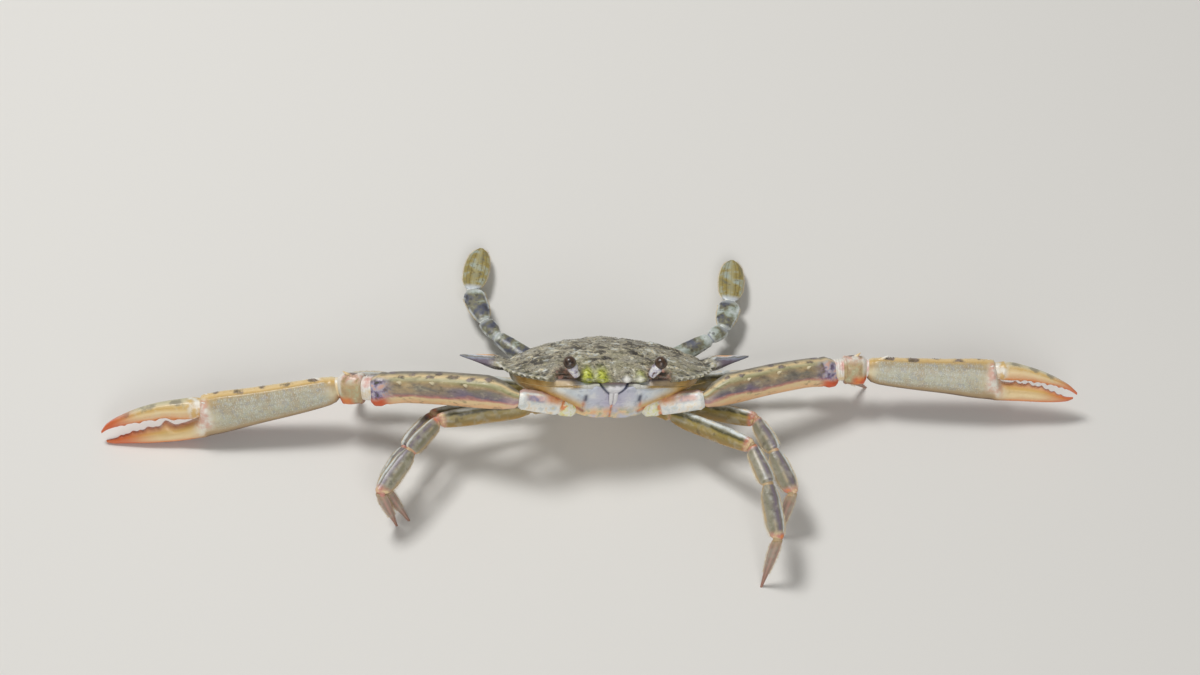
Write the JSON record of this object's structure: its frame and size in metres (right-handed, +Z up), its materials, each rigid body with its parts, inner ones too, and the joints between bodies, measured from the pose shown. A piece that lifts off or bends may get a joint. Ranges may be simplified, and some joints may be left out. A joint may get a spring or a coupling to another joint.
{
  "type": "blue swimming crab",
  "caption": "Life-size still model of a young blue swimming crab, claws stretched sideways, walking legs reaching forward and paddle legs laid back.",
  "frame": {"origin": "bottom centre of the bounding box, on the floor the crab stands on", "axes": "+X from the crab's crusher claw (its own right) to its cutter claw (its own left), +Y toward its rear, so that it faces -Y, +Z up"},
  "size_m": [0.2668, 0.1096, 0.0363],
  "materials": {
    "shell": "satin, finely granular, mottled olive grey with cream specks",
    "belly": "satin cream white with lavender and orange tints",
    "eyestalk": "satin pale lavender and brown",
    "cornea": "glossy dark brown",
    "feeler": "satin brownish",
    "palm": "satin beige with blue-white beaded granules",
    "finger": "satin cream orange with orange-red tips",
    "arm": "satin cream, olive and purple-grey bands",
    "leg": "satin olive and purple-grey",
    "leg_tip": "satin pinkish brown",
    "paddle_arm": "satin white and blue-purple blotches",
    "paddle_blade": "satin olive gold with fine veins"
  },
  "bodies": {
    "root": {"antenna_left": "feeler", "antenna_right": "feeler", "apron": "belly", "carapace": "shell", "claw_base_left": "belly", "claw_base_right": "belly", "claw_carpus_left": "arm", "claw_carpus_right": "arm", "claw_finger_left": "finger", "claw_finger_right": "finger", "claw_merus_left": "arm", "claw_merus_right": "arm", "claw_palm_left": "palm", "claw_palm_right": "palm", "eye_left": "cornea", "eye_right": "cornea", "eyestalk_left": "eyestalk", "eyestalk_right": "eyestalk", "leg2_base_left": "leg", "leg2_base_right": "leg", "leg2_carpus_left": "leg", "leg2_carpus_right": "leg", "leg2_dactylus_left": "leg_tip", "leg2_dactylus_right": "leg_tip", "leg2_merus_left": "leg", "leg2_merus_right": "leg", "leg2_propodus_left": "leg", "leg2_propodus_right": "leg", "leg3_base_left": "leg", "leg3_base_right": "leg", "leg3_carpus_left": "leg", "leg3_carpus_right": "leg", "leg3_dactylus_left": "leg_tip", "leg3_dactylus_right": "leg_tip", "leg3_merus_left": "leg", "leg3_merus_right": "leg", "leg3_propodus_left": "leg", "leg3_propodus_right": "leg", "leg4_base_left": "leg", "leg4_base_right": "leg", "leg4_carpus_left": "leg", "leg4_carpus_right": "leg", "leg4_dactylus_left": "leg_tip", "leg4_dactylus_right": "leg_tip", "leg4_merus_left": "leg", "leg4_merus_right": "leg", "leg4_propodus_left": "leg", "leg4_propodus_right": "leg", "maxilliped_left": "belly", "maxilliped_right": "belly", "paddle_carpus_left": "paddle_arm", "paddle_carpus_right": "paddle_arm", "paddle_dactylus_left": "paddle_blade", "paddle_dactylus_right": "paddle_blade", "paddle_merus_left": "paddle_arm", "paddle_merus_right": "paddle_arm", "paddle_propodus_left": "paddle_arm", "paddle_propodus_right": "paddle_arm", "thorax": "belly"}
  },
  "joints": []
}
